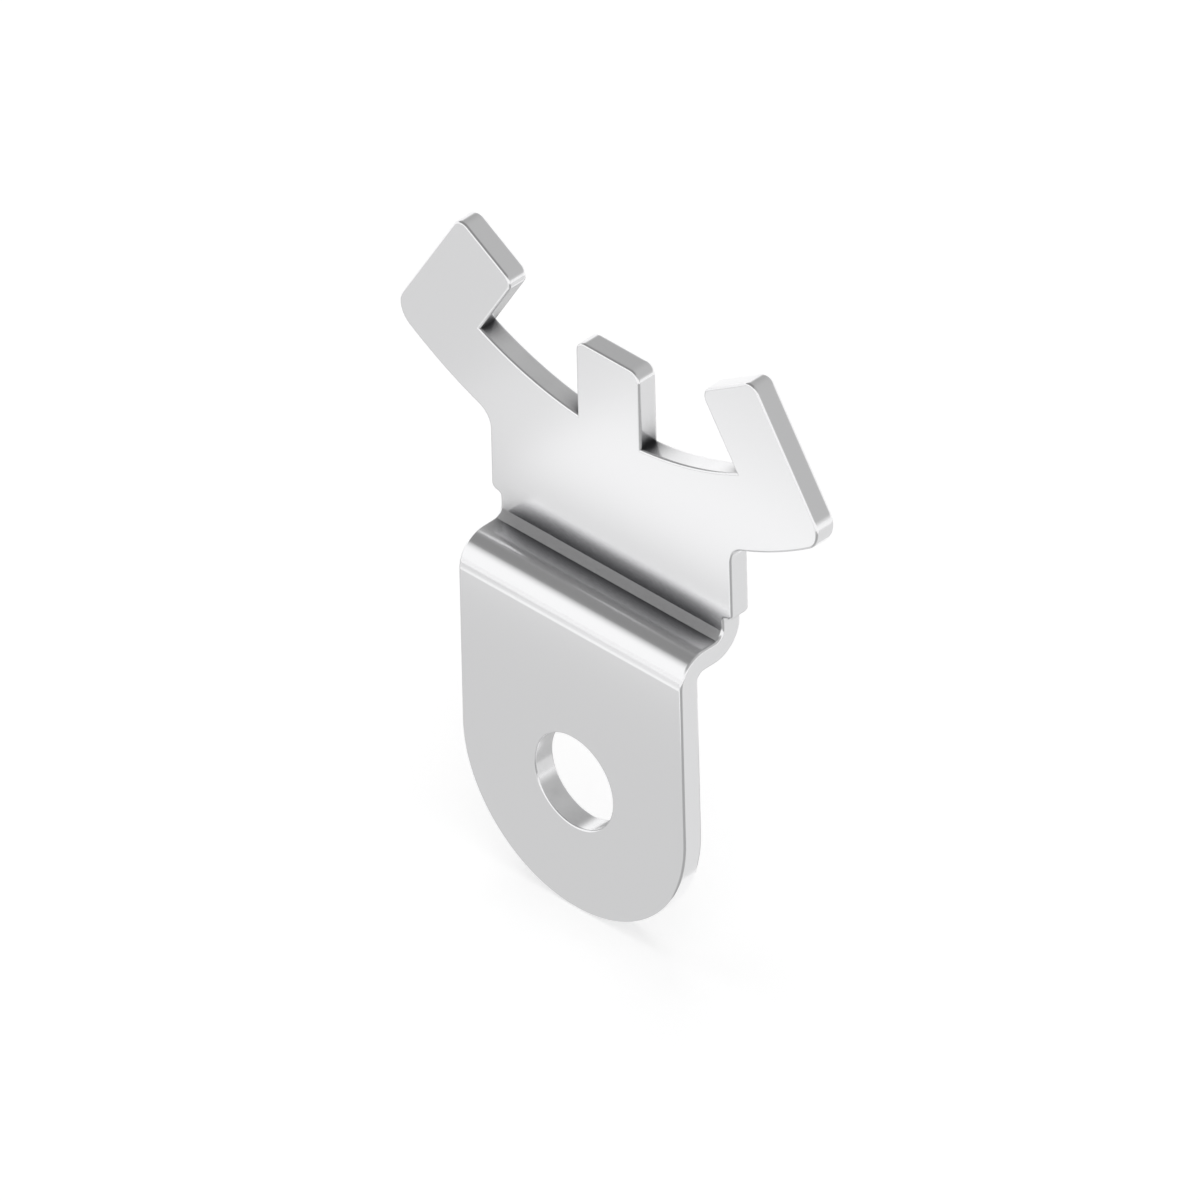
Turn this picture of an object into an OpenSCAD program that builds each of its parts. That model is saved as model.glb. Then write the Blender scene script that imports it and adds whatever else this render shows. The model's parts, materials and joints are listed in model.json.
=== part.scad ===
// Adjusting nut retainer: one stamped steel plate, set back by a double bend
// Millimetres. X to the right, Z up, Y from the viewer towards the nut.
// Origin: bolt hole axis where it meets the tab's rear face.

/* [Sheet] */
// thickness of the steel sheet
sheet_t = 2.6; // [2.4:0.1:2.8]
// edge round on the front side of the sheet
front_round = 0.3; // [0.2:0.05:0.4]
// edge round on the rear side, the side the punch entered
rear_round = 0.6; // [0.4:0.05:0.65]

/* [Tab] */
// width of the tab, which also sets its full round end
tab_w = 30.2; // [28:0.1:32]
// bolt hole diameter, clearance for an M10 bolt
hole_d = 10.5; // [9:0.1:12]
// edge round on both rims of the bolt hole
hole_round = 0.25; // [0.15:0.05:0.4]
// height of the lower bend's tangent line above the bolt hole
bend_z = 18.05; // [16:0.05:20]

/* [Joggle] */
// radius of the lower bend on the front side
lower_bend_r = 3.4; // [3.3:0.05:3.8]
// radius of the upper bend on the front side
upper_bend_r = 1.15; // [0.8:0.05:1.6]
// how far the fork is set back from the tab
set_back = 5.95; // [5.5:0.05:8]

/* [Neck] */
// how far the neck stands out beyond the tab on each side
neck_step = 1.2; // [1.15:0.05:1.4]
// convex round at the top of the step
step_round = 0.7; // [0.66:0.01:0.8]
// straight edge between the upper bend and the step
step_gap = 0.85; // [0.5:0.05:2]
// concave fillet between the neck and the ring segment
neck_fillet = 2.37; // [1.5:0.01:3.5]

/* [Ring segment] */
// height of the nut's centre above the bolt hole
nut_z = 78.4; // [77.5:0.1:81]
// radius of the notch floors, just clear of the nut
floor_r = 40; // [39:0.1:41]
// radial width of the ring segment
ring_w = 8.6; // [7.5:0.1:9]
// rounded corners where the ring segment meets the side teeth
corner_round = 2.7; // [2:0.1:3.5]

/* [Teeth] */
// width of each tooth
tooth_w = 8.6; // [8:0.1:9.5]
// length of each tooth from the notch floor to its tip
tooth_l = 9.2; // [7:0.1:11]
// angle of the side teeth from the middle one
tooth_angle = 31.89; // [28:0.01:34]
// corner rounds at the tooth tips
tip_round = 1.3; // [0.8:0.1:2]

/* [Show] */
// piece to draw

/* [Hidden] */
steel = [0.83, 0.83, 0.84];

// facets in a full turn of each kind of round
rim_facets = 16;
corner_facets = 32;
bend_facets = 64;
tab_facets = 96;
ring_facets = 240;

// lower bend, web and upper bend, one after another
neck_w = tab_w + 2 * neck_step;
lower_axis_y = lower_bend_r - sheet_t;
web_l = set_back - lower_bend_r - upper_bend_r;
upper_axis_y = lower_axis_y + web_l;
upper_axis_z = bend_z + lower_bend_r + upper_bend_r;

// step from the tab's width out to the neck's
step_hollow = neck_step - step_round;
step_z = upper_axis_z + step_gap;
neck_z = step_z + neck_step;
step_band = 1.5 * neck_step;

// angles at which one round runs into another are whole numbers of steps
turn_step = 0.001;

// ring segment and the fillets that join it to the neck
// each fillet cuts a hair into the neck's side, so that the two edges cross cleanly
outer_r = floor_r + ring_w;
mid_r = floor_r + ring_w / 2;
fillet_lap = 0.002;
fillet_reach = outer_r + neck_fillet;
fillet_angle = asin((neck_w / 2 + neck_fillet - fillet_lap) / fillet_reach);
fillet_turn = floor(fillet_angle / turn_step) * turn_step;
fillet_x = fillet_reach * sin(fillet_turn);
fillet_z = nut_z - fillet_reach * cos(fillet_turn);
fillet_band = 4;
neck_lap = 1;

// rounded corner at each end of the ring segment
corner_reach = outer_r - corner_round;
corner_angle = asin((tooth_w / 2 - corner_round) / corner_reach);
corner_turn = round(corner_angle / turn_step) * turn_step;
corner_across = corner_reach * sin(corner_turn);
corner_along = corner_reach * cos(corner_turn);

// sweeps of the ring segment, measured from the middle tooth
middle_turn = 2;
flank_turn = floor(tooth_angle) - 1;
flank_lap = 5;
band_lap = 1;

// filling behind the rims of the neck
core_inset = 0.7;
core_w = tab_w - 2 * core_inset;
core_clear = 2;
core_top = nut_z - floor_r - core_clear;

// collar round the bolt hole
collar_inner = 1;
collar_outer = 1.6;

tip_r = floor_r - tooth_l;
quarter = 90;
half = 180;
cut_over = 1;

// 2D: what a round of radius r takes off a corner at the origin
module nick(r) {
    translate([-r, -r])
        difference() {
            square(r + cut_over);
            circle(r, $fn = rim_facets);
        }
}

// 2D: what the rounds take off the edge of the sheet at the origin, front face at -sheet_t
module nicks(rear, front) {
    nick(rear);
    translate([0, -sheet_t])
        mirror([0, 1])
            nick(front);
}

// 2D: sheet from inner to outer with its outer edge rounded
module rim(inner, outer) {
    difference() {
        translate([inner, -sheet_t])
            square([outer - inner, sheet_t]);
        translate([outer, 0])
            nicks(rear_round, front_round);
    }
}

// 2D: sheet from inner outwards over the given width with its inner edge rounded
module hollow_rim(inner, width, rear = rear_round, front = front_round) {
    translate([inner, 0])
        difference() {
            translate([0, -sheet_t])
                square([width, sheet_t]);
            mirror([1, 0])
                nicks(rear, front);
        }
}

// 2D: full section of a strip of the given width
module section(width) {
    rim(0, width / 2);
    mirror([1, 0])
        rim(0, width / 2);
}

// turns a section about the Y axis, angles seen from the viewer's side, anticlockwise from +X
module turn(from, to, facets = corner_facets) {
    rotate([-90, 0, 0])
        rotate_extrude(angle = to - from, start = 360 - to, $fn = facets)
            children();
}

// turns a section about the X axis, angles seen from -X, from +Y towards +Z
module bend(from, to) {
    rotate([90, 0, 90])
        rotate_extrude(angle = to - from, start = from, $fn = bend_facets)
            children();
}

// whole tenths of a millimetre in a position
function coarse(position) = [for (part = position) floor(10 * part) / 10];

// moves in two steps, first by whole tenths and then by the small rest, to keep every digit
module place(position) {
    translate(coarse(position))
        translate(position - coarse(position))
            children();
}

// straight strip of the given width from height low to height high
module strip(width, low, high) {
    translate([0, 0, low])
        linear_extrude(high - low)
            section(width);
}

// the same piece on the right and on the left
module both_sides() {
    for (side = [0, 1])
        mirror([side, 0, 0])
            children();
}

// tab with its full round end and the bolt hole
module tab() {
    difference() {
        union() {
            strip(tab_w, 0, bend_z);
            turn(half, 2 * half, tab_facets)
                rim(0, tab_w / 2);
        }
        rotate([90, 0, 0])
            translate([0, 0, -cut_over])
                cylinder(h = sheet_t + 2 * cut_over, r = hole_d / 2 + collar_inner, $fn = tab_facets);
    }
    turn(0, 2 * half, tab_facets)
        hollow_rim(hole_d / 2, collar_outer, hole_round, hole_round);
}

// lower bend, level web and upper bend
module joggle() {
    translate([0, lower_axis_y, bend_z])
        bend(quarter, half)
            translate([lower_bend_r - sheet_t, 0])
                rotate(quarter)
                    section(tab_w);
    translate([0, lower_axis_y, bend_z + lower_bend_r - sheet_t])
        rotate([-quarter, 0, 0])
            linear_extrude(web_l)
                section(tab_w);
    translate([0, upper_axis_y, upper_axis_z])
        bend(half + quarter, 2 * half)
            translate([upper_bend_r + sheet_t, 0])
                rotate(-quarter)
                    section(tab_w);
}

// step from the tab's width to the neck's, as two small rounds
module step() {
    translate([tab_w / 2 + step_hollow, 0, step_z])
        turn(quarter, half)
            hollow_rim(step_hollow, step_band);
    translate([tab_w / 2 + step_hollow, 0, neck_z])
        turn(half + quarter, 2 * half)
            rim(0, step_round);
}

// concave fillet between the neck and the ring segment
module fillet() {
    place([fillet_x, 0, fillet_z])
        turn(quarter + fillet_turn, half)
            hollow_rim(neck_fillet, fillet_band);
}

// neck from the upper bend to the ring segment
module neck() {
    strip(tab_w, upper_axis_z, step_z);
    strip(neck_w, neck_z, fillet_z + neck_lap);
    translate([-core_w / 2, -sheet_t, step_z])
        cube([core_w, sheet_t, core_top - step_z]);
    both_sides() {
        step();
        fillet();
    }
}

// one tooth standing up from its root, with two rounded corners at the tip
module tooth(length) {
    strip(tooth_w, 0, length - tip_round);
    translate([0, 0, length - tip_round]) {
        rotate([0, -quarter, 0])
            linear_extrude(tooth_w - 2 * tip_round, center = true)
                rim(0, tip_round);
        both_sides()
            translate([tooth_w / 2 - tip_round, 0, 0])
                turn(0, quarter)
                    rim(0, tip_round);
    }
}

// end of the ring segment, its rounded corner and the side tooth over it
module side_tooth() {
    turn(half + quarter - flank_lap, half + quarter + corner_turn, ring_facets)
        rim(mid_r - band_lap, outer_r);
    place([corner_across, 0, -corner_along]) {
        turn(half + quarter + corner_turn, 2 * half)
            rim(0, corner_round);
        translate([corner_round - tooth_w / 2, 0, 0])
            tooth(corner_along - tip_r);
    }
}

// right flank of the ring segment, from the fillet to the side tooth
module flank() {
    turn(half + quarter + middle_turn, half + quarter + tooth_angle, ring_facets)
        hollow_rim(floor_r, ring_w / 2 + band_lap);
    turn(half + quarter + fillet_turn, half + quarter + flank_turn, ring_facets)
        rim(mid_r - band_lap, outer_r);
    rotate([0, -tooth_angle, 0])
        side_tooth();
}

// ring segment with its three teeth, its middle filled by the neck and the middle tooth
module fork() {
    both_sides()
        flank();
    translate([0, 0, -mid_r])
        tooth(mid_r - tip_r);
}

// the whole formed plate
module retainer() {
    color(steel) {
        tab();
        joggle();
        translate([0, set_back, 0]) {
            neck();
            translate([0, 0, nut_z])
                fork();
        }
    }
}

retainer();
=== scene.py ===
"""Scene of an adjusting nut retainer: one joggled steel plate with a fork of three teeth.

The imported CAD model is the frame. The script builds the plate again with fine rounds, dresses
it in bright plate, stands it on a pale floor in a small studio and looks at it as the photograph
does. Blender's own sizes are in metres, those of the plate in millimetres, angles in degrees.
"""

import json
import logging
import math
from dataclasses import dataclass
from enum import Enum

import bmesh
import bpy
from mathutils import Matrix, Vector
from mathutils.geometry import tessellate_polygon


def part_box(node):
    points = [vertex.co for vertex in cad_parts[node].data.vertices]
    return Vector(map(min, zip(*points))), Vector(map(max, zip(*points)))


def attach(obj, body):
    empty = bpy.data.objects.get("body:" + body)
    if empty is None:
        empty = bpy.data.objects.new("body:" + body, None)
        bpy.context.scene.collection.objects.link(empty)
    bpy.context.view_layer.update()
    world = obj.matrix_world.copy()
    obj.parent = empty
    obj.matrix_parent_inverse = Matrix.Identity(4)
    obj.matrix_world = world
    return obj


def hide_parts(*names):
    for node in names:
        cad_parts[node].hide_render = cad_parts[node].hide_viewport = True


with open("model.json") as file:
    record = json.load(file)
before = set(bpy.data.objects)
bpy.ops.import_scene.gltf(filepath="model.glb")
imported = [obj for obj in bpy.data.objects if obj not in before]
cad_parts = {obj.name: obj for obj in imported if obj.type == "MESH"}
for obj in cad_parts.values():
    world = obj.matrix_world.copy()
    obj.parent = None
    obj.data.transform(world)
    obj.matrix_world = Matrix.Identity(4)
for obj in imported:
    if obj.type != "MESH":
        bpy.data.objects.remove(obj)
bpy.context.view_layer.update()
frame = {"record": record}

LOG = logging.getLogger("retainer_scene")

# A millimetre in metres, and the distance in millimetres below which two points are one
MM = 0.001
SAME_PLACE = 1e-5

# Directions in space, seen by someone who looks at the tab's front
ACROSS = Vector((1, 0, 0))
AWAY = Vector((0, 1, 0))
UP = Vector((0, 0, 1))

# Turns in degrees
QUARTER = 90
HALF = 180
FULL = 360

# Curve that turns sRGB values to linear ones
SRGB_TOP = 255
SRGB_KNEE = 0.04045
SRGB_SLOPE = 12.92
SRGB_SHIFT = 0.055
SRGB_POWER = 2.4

# Sockets of a colour mix, by number because several of them share a name
MIX_SHARE = 0
MIX_FIRST = 6
MIX_SECOND = 7
MIX_COLOUR = 2

# Edges that cards of the studio share, from left to right and from front to back, in metres
LEFT_SEAM = -0.068
MIDDLE_SEAM = -0.056
HOLE_LEFT_SEAM = -0.012
RIGHT_SEAM = 0.014
HOLE_RIGHT_SEAM = 0.016
FRONT_END = -0.12
FAR_SEAM = -0.06
BRIGHT_SEAM = -0.052
NEAR_SEAM = -0.0385
BACK_SEAM = 0.035

# Height of a card that lies on the floor, in metres
CARD_LIFT = 0.00005


# Colours, nodes and materials

class Ray(Enum):
    """Kinds of ray that a shader can tell apart, by the name of Light Path's output."""

    CAMERA = "Is Camera Ray"
    GLOSSY = "Is Glossy Ray"
    TRANSMISSION = "Is Transmission Ray"


class SeenBy(Enum):
    """Which rays a studio piece is drawn for."""

    ALL = "all"
    REFLECTIONS = "reflections"


def linear(colour: str) -> tuple[float, float, float, float]:
    """Turns an sRGB hex colour to linear values.

    Args:
        colour: Colour such as "#C0FFEE".

    Returns:
        Red, green, blue and an alpha of one, all linear.
    """
    red, green, blue = (
        shown / SRGB_SLOPE if shown <= SRGB_KNEE
        else ((shown + SRGB_SHIFT) / (1 + SRGB_SHIFT)) ** SRGB_POWER
        for shown in (int(colour[place:place + 2], 16) / SRGB_TOP for place in (1, 3, 5))
    )
    return (red, green, blue, 1.0)


def add_node(
    tree: bpy.types.NodeTree,
    kind: str,
    inputs: dict[str | int, object] | None = None,
    settings: dict[str, object] | None = None,
) -> bpy.types.Node:
    """Adds a node with its settings and links.

    Args:
        tree: Node tree that gets the node.
        kind: Blender's name for the kind of node.
        inputs: By socket name or number, a value to set or another node's socket to link.
        settings: Values of the node's own properties.

    Returns:
        The new node.
    """
    node = tree.nodes.new(kind)
    for name, value in (settings or {}).items():
        setattr(node, name, value)
    for name, value in (inputs or {}).items():
        if isinstance(value, bpy.types.NodeSocket):
            tree.links.new(value, node.inputs[name])
        else:
            node.inputs[name].default_value = value
    return node


def empty_material(name: str) -> bpy.types.Material:
    """Makes a material with an empty node tree.

    Args:
        name: Name of the material.

    Returns:
        The new material.
    """
    material = bpy.data.materials.new(name)
    material.use_nodes = True
    material.node_tree.nodes.clear()
    return material


def seen_by_eye_or_mirror(tree: bpy.types.NodeTree) -> bpy.types.NodeSocket:
    """Adds nodes that tell rays of the camera, of reflections and of glass from the rest.

    Args:
        tree: Node tree of a material or of the world.

    Returns:
        A socket that is 1 for those rays and 0 for the rays that light other things.
    """
    path = add_node(tree, "ShaderNodeLightPath")
    either = path.outputs[Ray.CAMERA.value]
    for ray in (Ray.GLOSSY, Ray.TRANSMISSION):
        inputs = {0: either, 1: path.outputs[ray.value]}
        either = add_node(tree, "ShaderNodeMath", inputs, {"operation": "MAXIMUM"}).outputs[0]
    return either


# Finish

@dataclass(frozen=True)
class BrightPlate:
    """Bright zinc plate on cold-rolled steel sheet, pressed and then plated.

    The plate levels the sheet's grain, so the flats mirror the room softly and evenly in a
    neutral silver, and each bend and each edge round shows as its own band of light. Inner
    corners carry painted shade: the colour darkens to a dull grey where the plate's ambient
    occlusion is low.
    """

    name: str = "bright_zinc_plate_on_steel"
    colour: str = "#F3F3F4"
    # Grey of the painted shade in inner corners, the reach of the ambient occlusion, and the
    # occlusion levels where that painted shade is full and where it ends
    painted_shade_colour: str = "#6E6E70"
    roughness: float = 0.18
    painted_shade_reach: float = 0.009
    painted_shade_full_at: float = 0.6
    painted_shade_none_at: float = 0.86

    def material(self) -> bpy.types.Material:
        """Builds the material.

        Returns:
            The plated steel material.
        """
        material = empty_material(self.name)
        tree = material.node_tree
        # Painted shade: the colour goes from silver to dull grey where ambient occlusion on the
        # plate is low, in inner corners and recesses
        openness = add_node(tree, "ShaderNodeAmbientOcclusion", {"Distance": self.painted_shade_reach},
                            {"only_local": True}).outputs["AO"]
        unshaded_share = add_node(tree, "ShaderNodeMapRange", {
            "Value": openness,
            "From Min": self.painted_shade_full_at,
            "From Max": self.painted_shade_none_at,
        }).outputs["Result"]
        painted_shade_tint = add_node(tree, "ShaderNodeMix", {
            MIX_SHARE: unshaded_share,
            MIX_FIRST: linear(self.painted_shade_colour),
            MIX_SECOND: linear(self.colour),
        }, {"data_type": "RGBA"}).outputs[MIX_COLOUR]
        plate = add_node(tree, "ShaderNodeBsdfPrincipled", {
            "Base Color": painted_shade_tint,
            "Metallic": 1.0,
            "Roughness": self.roughness,
        })
        add_node(tree, "ShaderNodeOutputMaterial", {"Surface": plate.outputs["BSDF"]})
        return material


# Outline and rims of the sheet

@dataclass(frozen=True)
class SheetFrame:
    """Where a stretch of the sheet lies: its rear face, its way along and its front side."""

    base: Vector
    along: Vector
    front: Vector

    def point(self, plan: Vector, depth: float) -> Vector:
        """Places a point of the flat plan in space.

        Args:
            plan: Position across and along the sheet, in millimetres.
            depth: Height over the rear face, in millimetres.

        Returns:
            The point in space, in millimetres.
        """
        return self.base + ACROSS * plan.x + self.along * plan.y + self.front * depth

    def direction(self, plan: Vector, front: float) -> Vector:
        """Turns a direction of the flat plan into one in space.

        Args:
            plan: Direction across and along the sheet.
            front: Its share towards the front side.

        Returns:
            The direction in space, of unit length.
        """
        return (ACROSS * plan.x + self.along * plan.y + self.front * front).normalized()


@dataclass
class EdgePoint:
    """One point of an outline, with the way its edge faces and the way a rim moves inwards."""

    frame: SheetFrame
    plan: Vector
    normal: Vector
    offset: Vector

    def mirrored(self) -> "EdgePoint":
        """Returns the same point on the left side."""
        flip = Vector((-1, 1))
        return EdgePoint(self.frame, self.plan * flip, self.normal * flip, self.offset * flip)


@dataclass(frozen=True)
class RimPoint:
    """One row of a rounded edge: how far in, how high over the rear face, and how it faces."""

    inset: float
    depth: float
    outward: float
    frontward: float


def around(angle: float) -> Vector:
    """Returns the direction in the plan at an angle, anticlockwise from +X."""
    return Vector((math.cos(math.radians(angle)), math.sin(math.radians(angle))))


def turned(plan: Vector, angle: float) -> Vector:
    """Returns a vector of the plan turned anticlockwise by an angle."""
    way = around(angle)
    return Vector((plan.x * way.x - plan.y * way.y, plan.x * way.y + plan.y * way.x))


def straight(sheet: SheetFrame, plan: Vector, normal: Vector) -> EdgePoint:
    """Returns a point of a straight stretch of an outline."""
    return EdgePoint(sheet, plan, normal, normal)


def arc(sheet: SheetFrame, centre: Vector, radius: float, start: float, end: float,
        step: float, hollow: bool = False) -> list[EdgePoint]:
    """Lists the points of a round stretch of an outline.

    Args:
        sheet: Where that stretch of the sheet lies.
        centre: Centre of the round in the plan, in millimetres.
        radius: Its radius, in millimetres.
        start: Angle of the first point.
        end: Angle of the last point.
        step: Largest turn from one point to the next.
        hollow: Whether the sheet is outside the round.

    Returns:
        The points in their order.
    """
    count = max(1, math.ceil(abs(end - start) / step))
    spots = []
    for number in range(count + 1):
        way = around(start + (end - start) * number / count)
        spots.append(straight(sheet, centre + way * radius, -way if hollow else way))
    return spots


def mitre(first: EdgePoint, second: EdgePoint) -> None:
    """Lets the rims on both sides of a sharp corner meet.

    Args:
        first: Last point before the corner.
        second: First point after it, at the same place.
    """
    between = (first.normal + second.normal).normalized()
    first.offset = between / between.dot(first.normal)
    second.offset = first.offset


class PlateMesh:
    """Collects points, the way that each one faces, and faces, and makes one mesh of them."""

    def __init__(self) -> None:
        """Starts an empty mesh."""
        self.points: list[Vector] = []
        self.normals: list[Vector] = []
        self.faces: list[tuple[int, ...]] = []

    def edge(self, outline: list[EdgePoint], rim: list[RimPoint]) -> list[list[int]]:
        """Sweeps a rim round a closed outline that has the sheet on its left.

        A point that lies a hair from the one before is moved onto it, and no face is made
        between the two, so that the mesh stays closed and has no slivers.

        Args:
            outline: The points of the outline.
            rim: The rows of the rim, from the front face to the rear one.

        Returns:
            The point numbers, one list for each row of the rim.
        """
        for before, spot in zip(outline, outline[1:]):
            if spot.frame is before.frame and (spot.plan - before.plan).length < SAME_PLACE:
                spot.plan = before.plan
                spot.offset = before.offset
        rows = []
        for row in rim:
            first = len(self.points)
            for spot in outline:
                plan = spot.plan - spot.offset * row.inset
                normal = spot.normal * row.outward
                self.points.append(spot.frame.point(plan, row.depth))
                self.normals.append(spot.frame.direction(normal, row.frontward))
            rows.append(list(range(first, len(self.points))))
        for upper, lower in zip(rows, rows[1:]):
            for here, after in zip(range(len(outline)), [*range(1, len(outline)), 0]):
                if self.apart(upper[here], upper[after]):
                    self.faces.append((upper[here], lower[here], lower[after], upper[after]))
        return rows

    def apart(self, first: int, second: int) -> bool:
        """Tells whether two points lie at different places."""
        return (self.points[first] - self.points[second]).length > SAME_PLACE

    def fill(self, loops: list[list[int]], facing: Vector) -> None:
        """Fills a flat face between loops of points, with points of its own.

        Args:
            loops: The outer loop and any holes, as point numbers.
            facing: The side that the face shows.
        """
        numbers = self.facing([number for loop in loops for number in loop], facing)
        for corners in tessellate_polygon([[self.points[n] for n in loop] for loop in loops]):
            a, b, c = (numbers[corner] for corner in corners)
            normal = (self.points[b] - self.points[a]).cross(self.points[c] - self.points[a])
            if self.apart(a, b) and self.apart(b, c) and self.apart(c, a):
                self.faces.append((a, b, c) if normal.dot(facing) > 0 else (a, c, b))

    def facing(self, numbers: list[int], normal: Vector) -> list[int]:
        """Copies points so that the copies face another way.

        Args:
            numbers: The point numbers to copy.
            normal: The way that the copies face.

        Returns:
            The copies' numbers.
        """
        first = len(self.points)
        self.points += [self.points[number] for number in numbers]
        self.normals += [normal.normalized()] * len(numbers)
        return list(range(first, len(self.points)))

    def span(self, right: list[int], left: list[int], is_front: bool) -> None:
        """Spans the sheet from its right edge to its left one.

        Args:
            right: Point numbers up the right edge.
            left: Point numbers up the left edge.
            is_front: Whether the span is on the front side.
        """
        for here, after in zip(range(len(right)), range(1, len(right))):
            face = (left[here], right[here], right[after], left[after])
            self.faces.append(face if is_front else face[::-1])

    def build(self, name: str) -> bpy.types.Mesh:
        """Makes the mesh, in metres.

        Args:
            name: Name of the mesh.

        Returns:
            The mesh, smooth, with the normals that its points were given.
        """
        mesh = bpy.data.meshes.new(name)
        mesh.from_pydata([point * MM for point in self.points], [], self.faces)
        mesh.shade_smooth()
        mesh.normals_split_custom_set_from_vertices(self.normals)
        mesh.update()
        return mesh


# Plate

@dataclass
class Retainer:
    """The whole plate: tab, joggle, neck and fork. Its sizes are in millimetres.

    The steps count facets, and the turns are the largest angle between two points of a round.
    The crease is the narrow strip of the upper bend that faces one way of its own, and its lean
    is how much more it faces up than to the front.
    """

    node: str = "retainer"
    piece: str = "retainer_plate"
    slot: str = "bright_steel"
    finish: BrightPlate = BrightPlate()
    front_round: float = 0.3
    rear_round: float = 0.6
    hole_round: float = 0.25
    bend_z: float = 18.05
    lower_bend_r: float = 3.4
    upper_bend_r: float = 1.15
    neck_step: float = 1.2
    step_round: float = 0.7
    step_gap: float = 0.85
    neck_fillet: float = 2.37
    nut_z: float = 78.4
    floor_r: float = 40.0
    ring_w: float = 8.6
    corner_round: float = 2.7
    tooth_w: float = 8.6
    tooth_l: float = 9.2
    tooth_angle: float = 31.89
    tip_round: float = 1.3
    bend_steps: int = 32
    crease_steps: int = 6
    crease_lean: float = 1.24
    rim_steps: int = 6
    round_turn: float = 5.0
    ring_turn: float = 1.0
    tab_turn: float = 2.5

    def __post_init__(self) -> None:
        """Reads the main sizes from the frame and works out the rest."""
        low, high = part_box(self.node)
        bores = [mount for mount in frame["record"]["mounts"] if mount["kind"] == "bore"]
        self.half_width = -low.z / MM
        self.sheet_t = -low.y / MM
        self.set_back = high.y / MM
        self.hole_r = bores[0]["dims"]["r_mm"]
        self.neck_half = self.half_width + self.neck_step
        self.lower_axis_y = self.lower_bend_r - self.sheet_t
        self.upper_axis_y = self.set_back - self.upper_bend_r - self.sheet_t
        self.upper_axis_z = self.bend_z + self.lower_bend_r + self.upper_bend_r
        self.tab = SheetFrame(Vector((0, 0, 0)), UP, -AWAY)
        self.fork = SheetFrame(AWAY * self.set_back, UP, -AWAY)
        self.nut = Vector((0, self.nut_z))
        self.outer_r = self.floor_r + self.ring_w
        self.tip_r = self.floor_r - self.tooth_l
        self.fillet_reach = self.outer_r + self.neck_fillet
        self.corner_reach = self.outer_r - self.corner_round
        self.notch_turn = self.swing(self.tooth_w / 2, self.floor_r)
        self.fillet_turn = self.swing(self.neck_half + self.neck_fillet, self.fillet_reach)
        self.corner_turn = self.tooth_angle + self.swing(self.tooth_w / 2 - self.corner_round,
                                                         self.corner_reach)

    @staticmethod
    def swing(across: float, reach: float) -> float:
        """Returns the angle at the nut's centre of a point that far across, at that reach."""
        return math.degrees(math.asin(across / reach))

    def rim(self, front: float, rear: float) -> list[RimPoint]:
        """Lists the rows of an edge of the sheet, from the front face to the rear one.

        Args:
            front: Round on the front side.
            rear: Round on the rear side.

        Returns:
            The rows.
        """
        rows = []
        for step in range(self.rim_steps + 1):
            way = around(QUARTER - QUARTER * step / self.rim_steps)
            depth = self.sheet_t - front * (1 - way.y)
            rows.append(RimPoint(front * (1 - way.x), depth, way.x, way.y))
        for step in range(self.rim_steps + 1):
            way = around(-QUARTER * step / self.rim_steps)
            depth = rear * (1 + way.y)
            rows.append(RimPoint(rear * (1 - way.x), depth, way.x, way.y))
        return rows

    def joggle(self) -> list[SheetFrame]:
        """Lists the sheet's places up the lower bend, the level web and the upper bend.

        Returns:
            The places, from the tab to the neck.
        """
        lower_axis = Vector((0, self.lower_axis_y, self.bend_z))
        upper_axis = Vector((0, self.upper_axis_y, self.upper_axis_z))
        bends = (
            (lower_axis, self.lower_bend_r - self.sheet_t, HALF, -QUARTER),
            (upper_axis, -self.upper_bend_r - self.sheet_t, QUARTER, QUARTER),
        )
        places = []
        for axis, rear_r, start, turn in bends:
            for step in range(self.bend_steps + 1):
                way = around(start + turn * step / self.bend_steps)
                front = AWAY * way.x + UP * way.y
                places.append(SheetFrame(axis + front * rear_r, UP, front))
        return places

    def shoulder(self) -> list[EdgePoint]:
        """Lists the right edge from the upper bend over the step and up the fillet to the ring.

        Returns:
            The points, upwards.
        """
        hollow_r = self.neck_step - self.step_round
        hollow = Vector((self.half_width + hollow_r, self.upper_axis_z + self.step_gap))
        crest = hollow + Vector((0, self.neck_step))
        fillet = self.nut + around(-QUARTER + self.fillet_turn) * self.fillet_reach
        return [
            *arc(self.fork, hollow, hollow_r, HALF, QUARTER, self.round_turn, hollow=True),
            *arc(self.fork, crest, self.step_round, -QUARTER, 0, self.round_turn),
            *arc(self.fork, fillet, self.neck_fillet, HALF, QUARTER + self.fillet_turn,
                 self.round_turn, hollow=True),
        ]

    def tip(self, angle: float, sides: tuple[int, ...]) -> list[EdgePoint]:
        """Lists the rounded corners at the tip of a tooth.

        Args:
            angle: Angle of the tooth from the middle one.
            sides: 1 for the corner away from the middle, then -1 for the other one.

        Returns:
            The points, anticlockwise.
        """
        across = self.tooth_w / 2 - self.tip_round
        spots = []
        for side in sides:
            centre = self.nut + turned(Vector((side * across, -self.tip_r - self.tip_round)), angle)
            start = angle if side > 0 else angle + QUARTER
            spots += arc(self.fork, centre, self.tip_round, start, start + QUARTER, self.round_turn)
        return spots

    def side_tooth(self) -> list[EdgePoint]:
        """Lists the ring's lower edge, its end corner and the right tooth down to its notch.

        Returns:
            The points, anticlockwise.
        """
        start = -QUARTER + self.fillet_turn
        end = -QUARTER + self.corner_turn
        corner = self.nut + around(end) * self.corner_reach
        root = self.floor_r * math.cos(math.radians(self.notch_turn))
        inner = self.nut + turned(Vector((-self.tooth_w / 2, -root)), self.tooth_angle)
        return [
            *arc(self.fork, self.nut, self.outer_r, start, end, self.ring_turn),
            *arc(self.fork, corner, self.corner_round, end, self.tooth_angle, self.round_turn)[1:],
            *self.tip(self.tooth_angle, (1, -1)),
            straight(self.fork, inner, around(HALF + self.tooth_angle)),
        ]

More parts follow.
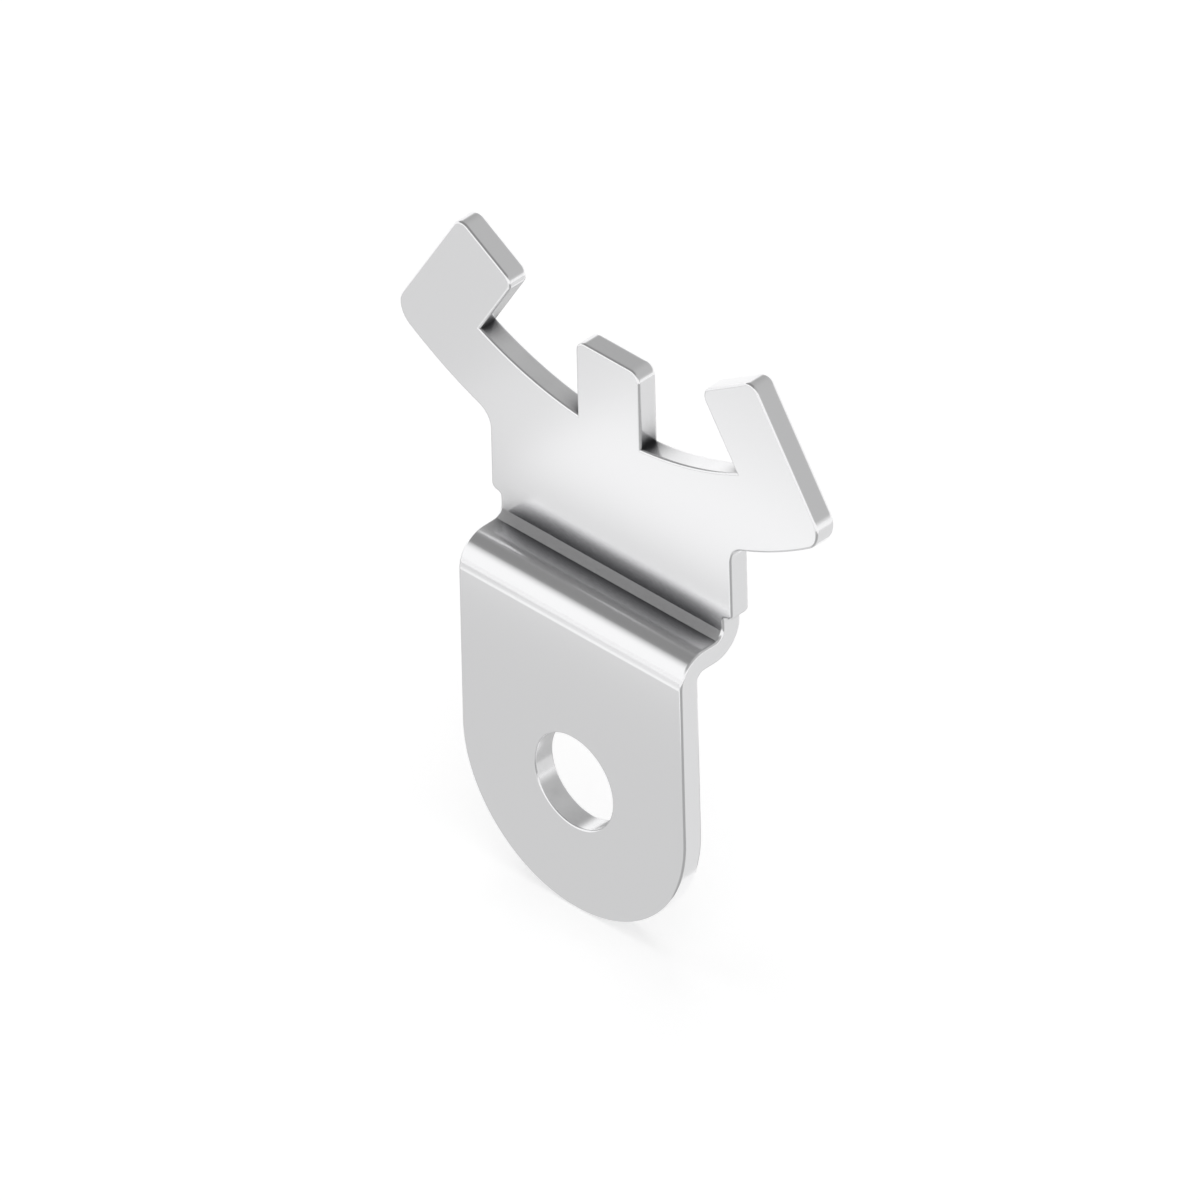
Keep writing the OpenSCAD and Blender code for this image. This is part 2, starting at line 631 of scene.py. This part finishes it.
    def notch(self) -> list[EdgePoint]:
        """Lists the right notch's floor and the middle tooth's right half.

        Returns:
            The points, anticlockwise.
        """
        start = -QUARTER + self.tooth_angle - self.notch_turn
        end = -QUARTER + self.notch_turn
        floor = arc(self.fork, self.nut, self.floor_r, start, end, self.ring_turn, hollow=True)
        side = straight(self.fork, self.nut + around(end) * self.floor_r, around(0))
        mitre(floor[-1], side)
        return [*floor, side, *self.tip(0, (1,))]

    def right_edge(self) -> list[EdgePoint]:
        """Lists the fork's right half, with the rims at the side tooth's root mitred.

        Returns:
            The points, from the neck to the tip of the middle tooth.
        """
        tooth = self.side_tooth()
        notch = self.notch()
        mitre(tooth[-1], notch[0])
        return [*self.shoulder(), *tooth, *notch]

    def crease(self, plate: PlateMesh, right: list[int], left: list[int]) -> None:
        """Spans the front of the web and of the upper bend, in three facings.

        The bend is so tight that it shows as one strip of even tone between two clean lines. Its
        lowest steps face as the web does, its highest as the neck does, and the rest one way
        between the two.

        Args:
            plate: The mesh that gets the faces.
            right: Point numbers up the right edge, from the web's foot to the neck.
            left: Point numbers up the left edge.
        """
        lower = 1 + self.crease_steps
        upper = len(right) - 1 - self.crease_steps
        stretches = (
            (0, lower, UP),
            (lower, upper, UP * self.crease_lean - AWAY),
            (upper, len(right) - 1, -AWAY),
        )
        for start, end, normal in stretches:
            right_points = plate.facing(right[start:end + 1], normal)
            left_points = plate.facing(left[start:end + 1], normal)
            plate.span(right_points, left_points, is_front=True)

    def mesh(self) -> bpy.types.Mesh:
        """Builds the plate's mesh from its outline, its rim and its joggle.

        Returns:
            The mesh.
        """
        plate = PlateMesh()
        middle = Vector((0, 0))
        low_edge = arc(self.tab, middle, self.half_width, -QUARTER, 0, self.tab_turn)
        side = Vector((self.half_width, 0))
        bends = [straight(place, side, around(0)) for place in self.joggle()]
        fork_edge = self.right_edge()
        right = [*low_edge, *bends, *fork_edge]
        left = [spot.mirrored() for spot in reversed(right[1:])]
        rows = plate.edge([*right, *left], self.rim(self.front_round, self.rear_round))
        circle = arc(self.tab, middle, self.hole_r, FULL, 0, self.tab_turn, hollow=True)[:-1]
        hole = plate.edge(circle, self.rim(self.hole_round, self.hole_round))
        first = len(low_edge)
        last = first + len(bends)
        fold = first + self.bend_steps
        for row, rim_row, is_front in ((rows[0], hole[0], True), (rows[-1], hole[-1], False)):
            facing = -AWAY if is_front else AWAY
            mirror = [row[0], *reversed(row[len(right):])]
            plate.fill([row[:first + 1] + mirror[first:0:-1], rim_row], facing)
            plate.fill([row[last - 1:len(right)] + mirror[len(right) - 1:last - 2:-1]], facing)
            plate.span(row[first:fold + 1], mirror[first:fold + 1], is_front)
            if is_front:
                self.crease(plate, row[fold:last], mirror[fold:last])
            else:
                plate.span(row[fold:last], mirror[fold:last], is_front)
        return plate.build(self.piece)

    def build(self) -> bpy.types.Object:
        """Builds the plate in its finish, in place of the CAD node.

        Returns:
            The plate.
        """
        mesh = self.mesh()
        mesh.materials.append(self.finish.material())
        plate = bpy.data.objects.new(self.piece, mesh)
        bpy.context.scene.collection.objects.link(plate)
        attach(plate, "root")
        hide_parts(self.node)
        return plate


# Camera

@dataclass
class Viewpoint:
    """The photograph's camera. It shows no perspective, so its rays are parallel.

    The aim is the middle of the bolt hole on the tab's front, and the middle of the picture lies
    across and above it. Lengths are in metres.
    """

    azimuth: float = 45.301
    elevation: float = 36.051
    roll: float = -1.383
    frame_px: float = 1200
    px_per_mm: float = 10.349
    aim: tuple[float, float, float] = (0.0, -0.0026, 0.0)
    across: float = 0.002588
    above: float = 0.017587
    distance: float = 0.6

    def axes(self) -> tuple[Vector, Vector, Vector]:
        """Works out the camera's directions.

        Returns:
            Right, up and backwards, each of unit length.
        """
        azimuth = math.radians(self.azimuth)
        elevation = math.radians(self.elevation)
        level = Vector((math.cos(azimuth), math.sin(azimuth), 0))
        back = Vector((
            math.sin(azimuth) * math.cos(elevation),
            -math.cos(azimuth) * math.cos(elevation),
            math.sin(elevation),
        ))
        roll = Matrix.Rotation(math.radians(self.roll), 3, back)
        return roll @ level, roll @ back.cross(level), back

    def build(self) -> bpy.types.Object:
        """Adds the camera and makes it the scene's own.

        Returns:
            The camera.
        """
        right, up, back = self.axes()
        data = bpy.data.cameras.new("photo_camera")
        data.type = "ORTHO"
        data.ortho_scale = self.frame_px / self.px_per_mm * MM
        camera = bpy.data.objects.new("photo_camera", data)
        place = Vector(self.aim) + right * self.across + up * self.above + back * self.distance
        turn = Matrix((right, up, back)).transposed().to_4x4()
        camera.matrix_world = Matrix.Translation(place) @ turn
        bpy.context.scene.collection.objects.link(camera)
        bpy.context.scene.camera = camera
        return camera


# Studio

@dataclass(frozen=True)
class Card:
    """A card that only reflections see, flat on the floor or leaning above it, in metres.

    A tone of 1 is white. The heights are those of its front and back edge over the floor.
    """

    name: str
    tone: float
    left: float
    right: float
    front: float
    back: float
    front_height: float = CARD_LIFT
    back_height: float = CARD_LIFT

    def corners(self, level: float) -> tuple[tuple[float, float, float], ...]:
        """Places the card over the floor.

        Args:
            level: Height of the floor.

        Returns:
            The four corners, anticlockwise as seen from above.
        """
        low = self.front_height + level
        high = self.back_height + level
        return (
            (self.left, self.front, low),
            (self.right, self.front, low),
            (self.right, self.back, high),
            (self.left, self.back, high),
        )


@dataclass
class Studio:
    """Pale floor, soft lamps, cards and a grey-roofed tent for the metal to mirror.

    Lengths are in metres, and a tone of 1 is white. The tent's roof fades in from roof_low to
    roof_high, as shares of the tent's radius. Its tone goes from roof_dark to roof_light along
    light_way, between dark_side and light_side. A lamp's way is its direction on the floor, from
    +X towards +Y, and its direction above the floor.
    """

    floor_width: float = 3.0
    floor_colour: str = "#E6E6E6"
    floor_lift: float = 0.45
    tent_radius: float = 0.9
    tent_segments: int = 64
    tent_rings: int = 32
    tent_cut: float = 0.01
    foot_tone: float = 1.05
    roof_low: float = 0.2
    roof_high: float = 0.6
    roof_lean: float = 0.35
    roof_dark: float = 0.3
    roof_light: float = 0.52
    dark_side: float = -0.8
    light_side: float = 0.6
    light_way: tuple[float, float, float] = (math.sqrt(0.5), math.sqrt(0.5), 0)
    key_way: tuple[float, float] = (-20.0, 60.0)
    fill_way: tuple[float, float] = (160.0, 65.0)
    lamp_size: float = 0.8
    lamp_distance: float = 1.0
    lamp_power: float = 2.4
    world_tone: float = 0.4
    cards: tuple[Card, ...] = (
        Card("front_card", tone=0.67, left=LEFT_SEAM, right=RIGHT_SEAM,
             front=NEAR_SEAM, back=-0.0015),
        Card("edge_card", tone=1.09, left=MIDDLE_SEAM, right=RIGHT_SEAM,
             front=BRIGHT_SEAM, back=NEAR_SEAM),
        Card("bright_card", tone=0.93, left=MIDDLE_SEAM, right=RIGHT_SEAM,
             front=FAR_SEAM, back=BRIGHT_SEAM),
        Card("far_card", tone=0.85, left=MIDDLE_SEAM, right=RIGHT_SEAM,
             front=FRONT_END, back=FAR_SEAM),
        Card("middle_left_card", tone=0.84, left=LEFT_SEAM, right=MIDDLE_SEAM,
             front=FRONT_END, back=NEAR_SEAM),
        Card("front_left_card", tone=0.73, left=-0.16, right=LEFT_SEAM,
             front=FRONT_END, back=-0.004),
        Card("front_right_card", tone=0.42, left=RIGHT_SEAM, right=0.12, front=-0.1, back=0.0),
        Card("right_card", tone=0.78, left=HOLE_RIGHT_SEAM, right=0.14, front=0.0, back=0.12),
        Card("left_card", tone=0.4, left=-0.12, right=HOLE_LEFT_SEAM, front=0.0, back=BACK_SEAM),
        Card("hole_card", tone=0.55, left=HOLE_LEFT_SEAM, right=HOLE_RIGHT_SEAM,
             front=0.0095, back=BACK_SEAM),
        Card("back_card", tone=0.6, left=-0.1, right=0.0, front=BACK_SEAM, back=0.09),
        Card("flag", tone=0.27, left=-0.09, right=0.02, front=-0.03, back=0.006,
             front_height=0.081, back_height=0.1),
    )

    def place(self, name: str, mesh: bpy.types.Mesh, seen_by: SeenBy) -> bpy.types.Object:
        """Puts a mesh into the scene as a piece of the studio.

        Args:
            name: Name of the piece.
            mesh: Its mesh.
            seen_by: The rays that it is drawn for.

        Returns:
            The piece.
        """
        piece = bpy.data.objects.new(name, mesh)
        bpy.context.scene.collection.objects.link(piece)
        if seen_by is SeenBy.REFLECTIONS:
            piece.visible_camera = False
            piece.visible_diffuse = False
            piece.visible_shadow = False
            piece.visible_transmission = False
        return piece

    def board(self, name: str, corners: tuple[tuple[float, float, float], ...],
              material: bpy.types.Material, seen_by: SeenBy) -> bpy.types.Object:
        """Builds a flat piece of the studio.

        Args:
            name: Name of the piece.
            corners: Its four corners.
            material: Its material.
            seen_by: The rays that it is drawn for.

        Returns:
            The piece.
        """
        mesh = bpy.data.meshes.new(name)
        mesh.from_pydata(corners, [], [(0, 1, 2, 3)])
        mesh.materials.append(material)
        return self.place(name, mesh, seen_by)

    def glow(self, name: str, strength: float | bpy.types.NodeSocket,
             material: bpy.types.Material | None = None) -> bpy.types.Material:
        """Builds a card's material, whose tone doesn't depend on the lamps.

        Args:
            name: Name of the material.
            strength: Its tone, where 1 is white, or a socket that gives the tone.
            material: The material that holds that socket, if there is one.

        Returns:
            The card's material.
        """
        material = material or empty_material(name)
        tree = material.node_tree
        light = add_node(tree, "ShaderNodeEmission", {"Strength": strength})
        add_node(tree, "ShaderNodeOutputMaterial", {"Surface": light.outputs[0]})
        return material

    def floor(self, level: float) -> bpy.types.Object:
        """Builds the floor, lifted to white where it is seen, with the shadow kept.

        Args:
            level: Height of the floor, where the object stands.

        Returns:
            The floor.
        """
        half = self.floor_width / 2
        sides = ((-half, -half), (half, -half), (half, half), (-half, half))
        corners = tuple((x, y, level) for x, y in sides)
        material = empty_material("pale_floor")
        tree = material.node_tree
        paper = add_node(tree, "ShaderNodeBsdfDiffuse", {"Color": linear(self.floor_colour)})
        seen = seen_by_eye_or_mirror(tree)
        lift = add_node(tree, "ShaderNodeMath", {0: seen, 1: self.floor_lift},
                        {"operation": "MULTIPLY"})
        light = add_node(tree, "ShaderNodeEmission", {"Strength": lift.outputs[0]})
        both = add_node(tree, "ShaderNodeAddShader", {0: paper.outputs[0], 1: light.outputs[0]})
        add_node(tree, "ShaderNodeOutputMaterial", {"Surface": both.outputs[0]})
        return self.board("floor", corners, material, SeenBy.ALL)

    def card(self, card: Card, level: float) -> bpy.types.Object:
        """Builds one card.

        Args:
            card: The card.
            level: Height of the floor.

        Returns:
            The card's object.
        """
        tone = self.glow(card.name, card.tone)
        return self.board(card.name, card.corners(level), tone, SeenBy.REFLECTIONS)

    def tent(self) -> bpy.types.Object:
        """Builds the tent: white at its foot, grey overhead, darker to the front left.

        Returns:
            The tent, which only reflections see.
        """
        mesh = bpy.data.meshes.new("light_tent")
        shell = bmesh.new()
        bmesh.ops.create_uvsphere(shell, u_segments=self.tent_segments,
                                  v_segments=self.tent_rings, radius=self.tent_radius)
        lowest = -self.tent_radius * self.tent_cut
        below = [vertex for vertex in shell.verts if vertex.co.z < lowest]
        bmesh.ops.delete(shell, geom=below, context="VERTS")
        shell.to_mesh(mesh)
        shell.free()
        material = empty_material("tent_cloth")
        tree = material.node_tree
        point = add_node(tree, "ShaderNodeNewGeometry").outputs["Position"]
        way = add_node(tree, "ShaderNodeVectorMath", {0: point},
                       {"operation": "NORMALIZE"}).outputs["Vector"]
        height = add_node(tree, "ShaderNodeSeparateXYZ", {"Vector": way}).outputs["Z"]
        side = add_node(tree, "ShaderNodeVectorMath", {0: way, 1: self.light_way},
                        {"operation": "DOT_PRODUCT"}).outputs["Value"]
        lean = add_node(tree, "ShaderNodeMath", {0: side, 1: self.roof_lean, 2: height},
                        {"operation": "MULTIPLY_ADD"}).outputs[0]
        roof = add_node(tree, "ShaderNodeMapRange", {
            "Value": lean,
            "From Min": self.roof_low,
            "From Max": self.roof_high,
        }, {"interpolation_type": "SMOOTHSTEP"}).outputs["Result"]
        tone = add_node(tree, "ShaderNodeMapRange", {
            "Value": side,
            "From Min": self.dark_side,
            "From Max": self.light_side,
            "To Min": self.roof_dark,
            "To Max": self.roof_light,
        }).outputs["Result"]
        cloth = add_node(tree, "ShaderNodeMapRange", {
            "Value": roof,
            "To Min": self.foot_tone,
            "To Max": tone,
        }).outputs["Result"]
        mesh.materials.append(self.glow("tent_cloth", cloth, material))
        return self.place("light_tent", mesh, SeenBy.REFLECTIONS)

    def lamp(self, name: str, azimuth: float, elevation: float) -> bpy.types.Object:
        """Adds a soft square lamp that looks at the object and lights the floor round it.

        Args:
            name: Name of the lamp.
            azimuth: Its direction on the floor, from +X towards +Y.
            elevation: Its direction above the floor.

        Returns:
            The lamp.
        """
        level = math.cos(math.radians(elevation))
        way = Vector((
            level * math.cos(math.radians(azimuth)),
            level * math.sin(math.radians(azimuth)),
            math.sin(math.radians(elevation)),
        ))
        data = bpy.data.lights.new(name, "AREA")
        data.size = self.lamp_size
        data.energy = self.lamp_power
        lamp = bpy.data.objects.new(name, data)
        lamp.location = way * self.lamp_distance
        lamp.rotation_euler = way.to_track_quat("Z", "Y").to_euler()
        lamp.visible_glossy = False
        bpy.context.scene.collection.objects.link(lamp)
        return lamp

    def world(self) -> bpy.types.World:
        """Builds the world: white to the eye and to mirrors, a plain grey light to the rest.

        Returns:
            The world.
        """
        world = bpy.data.worlds.new("white_room")
        world.use_nodes = True
        tree = world.node_tree
        tree.nodes.clear()
        strength = add_node(tree, "ShaderNodeMapRange", {
            "Value": seen_by_eye_or_mirror(tree),
            "To Min": self.world_tone,
            "To Max": 1.0,
        })
        room = add_node(tree, "ShaderNodeBackground", {
            "Color": (1.0, 1.0, 1.0, 1.0),
            "Strength": strength.outputs[0],
        })
        add_node(tree, "ShaderNodeOutputWorld", {"Surface": room.outputs[0]})
        bpy.context.scene.world = world
        return world

    def build(self, level: float) -> None:
        """Builds the whole studio.

        Args:
            level: Height of the floor, where the object stands.
        """
        self.floor(level)
        for card in self.cards:
            self.card(card, level)
        self.tent()
        self.lamp("key_lamp", *self.key_way)
        self.lamp("fill_lamp", *self.fill_way)
        self.world()


# The order of work


def main() -> None:
    """Builds the plate, the camera and the studio, in that order."""
    logging.basicConfig(level=logging.INFO, format="%(message)s")
    plate = Retainer().build()
    LOG.info("%s built, %d faces", plate.name, len(plate.data.polygons))
    camera = Viewpoint().build()
    LOG.info("%s added", camera.name)
    lowest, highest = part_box(Retainer.node)
    Studio().build(lowest.z)
    LOG.info("studio built round a plate %.1f mm high", (highest.z - lowest.z) / MM)
    bpy.context.scene.view_settings.view_transform = "Standard"


if __name__ == "__main__":
    main()
